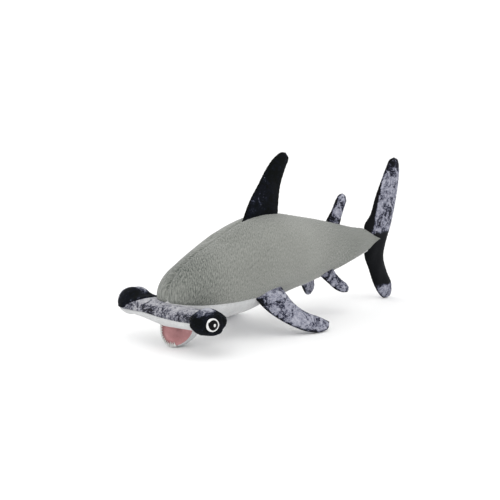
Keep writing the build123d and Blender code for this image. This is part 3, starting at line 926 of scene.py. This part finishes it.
def make_dorsals():
    plane = FinPlane((0, y_at(196), 161), (0, 1, 0), (0, 0, 1))
    lead = [(-39, -12), (-21, 20), (-3, 42), (15, 64), (32, 78), (44, 83), (53, 82)]
    trail = [(36, -12), (37, 10), (42, 40), (51, 60), (58, 74), (53, 82)]
    make_fin("first_dorsal", plane, lead, trail, 13,
             DARK, first_dorsal_tone, ("left", "right"), 71)

    plane = FinPlane((0, y_at(356), 133), (0, 34, -8), (0, 8, 34))
    lead = [(-21, -10), (-15, 2), (-6, 18), (0, 34), (5, 43), (12, 46)]
    trail = [(16, -10), (17, 10), (20, 26), (22, 38), (18, 44), (12, 46)]
    make_fin("second_dorsal", plane, lead, trail, 11,
             MOTTLED, second_dorsal_tone, ("left", "right"), 81)


def make_pectoral(side_name, side, faces):
    plane = FinPlane((side * 47, y_at(166), 57), (side * 3, 50, 14), (side * 42, 71, -54))
    lead = [(-27, -10), (-25, 0), (-20, 15), (-9, 34), (8, 55), (28, 72), (46, 80), (59, 80), (66, 73)]
    trail = [(22, -10), (23, 4), (27, 26), (39, 46), (55, 61), (66, 73)]
    make_fin(f"pectoral_{side_name}", plane, lead, trail, 13,
             MOTTLED, pectoral_tone, faces, 91)


def make_pelvic(side_name, side, faces):
    """The right one is sewn on longer and steeper."""
    outwards = (12, 8, -36) if side > 0 else (-9, 8, -38)
    plane = FinPlane((side * 25, y_at(313), 63), (side * 2, 30, 5), outwards)
    if side > 0:
        lead = [(-15, -9), (-12, 0), (-4, 11), (9, 27), (21, 34), (29, 35), (34, 30)]
        trail = [(14, -9), (17, 3), (24, 15), (31, 23), (34, 30)]
    else:
        lead = [(-9, -9), (-6, 4), (2, 20), (12, 37), (20, 46), (28, 49), (35, 46)]
        trail = [(20, -9), (25, 5), (34, 22), (38, 38), (35, 46)]
    make_fin(f"pelvic_{side_name}", plane, lead, trail, 9,
             MOTTLED, pelvic_tone, faces, 101)


def make_fins():
    make_dorsals()
    for side_name, side in (("left", 1), ("right", -1)):
        faces = ("inner", "outer") if side > 0 else ("outer", "inner")
        make_pectoral(side_name, side, faces)
        make_pelvic(side_name, side, faces)


# ---------------------------------------------------------------- tail fin


def tail_fin_tone(a, b):
    """Dark lower lobe with a light tip, light upper lobe with a dark leading edge and tip."""
    lower = ramp_up(-b, -112, -92) * ramp_up(b, 20, 34)
    upper = ramp_up(b, 96, 120)
    middle = np.where(b > 100, 470 + (b - 100) * 0.36, 470)
    leading = ramp_up(middle - a, 25, 31) * upper
    tip = ramp_up(b, 200, 214)
    return 0.012 - 0.50 * lower - 0.30 * leading - 0.12 * tip - 0.04 * ramp_up(-b, -150, -112) * upper


def make_tail_fin():
    """One padded strip from the lower tip to the upper tip."""
    plane = FinPlane((0, FRONT, 0), (0, 1, 0), (0, 0, 1))
    lead = [(494, 0), (484, 1), (473, 9), (461, 24), (446, 52), (435, 74), (437, 98), (433, 120),
            (448, 136), (459, 160), (473, 184), (487, 206), (495, 218), (506, 222)]
    trail = [(494, 0), (503, 4), (505, 19), (492, 42), (482, 68), (488, 90), (499, 112), (512, 153),
             (519, 190), (519, 206), (515, 218), (506, 222)]
    make_fin("tail_fin", plane, lead, trail, 12.5, MOTTLED,
             tail_fin_tone, ("left", "right"), 111, both_tips=True)


# ---------------------------------------------------------------- studio

FLOOR_HALF = 6
WORLD_STRENGTH = 1.12
# Area lights: name, place, size in metres, watts
LIGHTS = (
    ("key", (0.9, -1.3, 1.9), 1.6, 9),
    ("fill", (-1.6, -0.6, 1.4), 1.8, 3),
    ("back", (0.2, 1.8, 1.6), 1.5, 2),
)
# Camera fitted to the photo
CAMERA_PLACE = (1.120, -1.2835, 0.366)
CAMERA_AZIMUTH, CAMERA_ELEVATION = math.radians(43), math.radians(8.79)
CAMERA_LENS, CAMERA_SENSOR = 86.4, 36


def make_floor():
    corners = [(x * FLOOR_HALF, y * FLOOR_HALF, 0) for x, y in ((-1, -1), (1, -1), (1, 1), (-1, 1))]
    floor = bpy.data.meshes.new("floor")
    floor.from_pydata(corners, [], [(0, 1, 2, 3)])
    paper = bpy.data.materials.new("pale_paper")
    paper.use_nodes = True
    shader = paper.node_tree.nodes["Principled BSDF"]
    shader.inputs["Base Color"].default_value = (0.95, 0.95, 0.95, 1)
    shader.inputs["Roughness"].default_value = 0.9
    floor.materials.append(paper)
    floor_object = bpy.data.objects.new("floor", floor)
    bpy.context.scene.collection.objects.link(floor_object)


def make_lights():
    world = bpy.data.worlds.new("studio")
    world.use_nodes = True
    background = world.node_tree.nodes["Background"]
    background.inputs["Color"].default_value = (1, 1, 1, 1)
    background.inputs["Strength"].default_value = WORLD_STRENGTH
    bpy.context.scene.world = world
    for name, place, size, power in LIGHTS:
        light = bpy.data.lights.new(name, "AREA")
        light.size, light.energy = size, power
        lamp = bpy.data.objects.new(name, light)
        lamp.location = place
        lamp.rotation_euler = (-Vector(place)).to_track_quat("-Z", "Y").to_euler()
        bpy.context.scene.collection.objects.link(lamp)
    bpy.context.scene.view_settings.view_transform = "Standard"


def make_camera():
    """Camera round on the shark's left, a little above it."""
    camera = bpy.data.cameras.new("camera")
    camera.lens, camera.sensor_width = CAMERA_LENS, CAMERA_SENSOR
    looker = bpy.data.objects.new("camera", camera)
    looker.location = CAMERA_PLACE
    level = math.cos(CAMERA_ELEVATION)
    forward = Vector((
        -math.sin(CAMERA_AZIMUTH) * level, math.cos(CAMERA_AZIMUTH) * level, -math.sin(CAMERA_ELEVATION),
    ))
    looker.rotation_euler = forward.to_track_quat("-Z", "Y").to_euler()
    bpy.context.scene.collection.objects.link(looker)
    bpy.context.scene.camera = looker


make_camera()
make_body()
make_hammer()
make_jaw()
make_fins()
make_tail_fin()
make_floor()
make_lights()
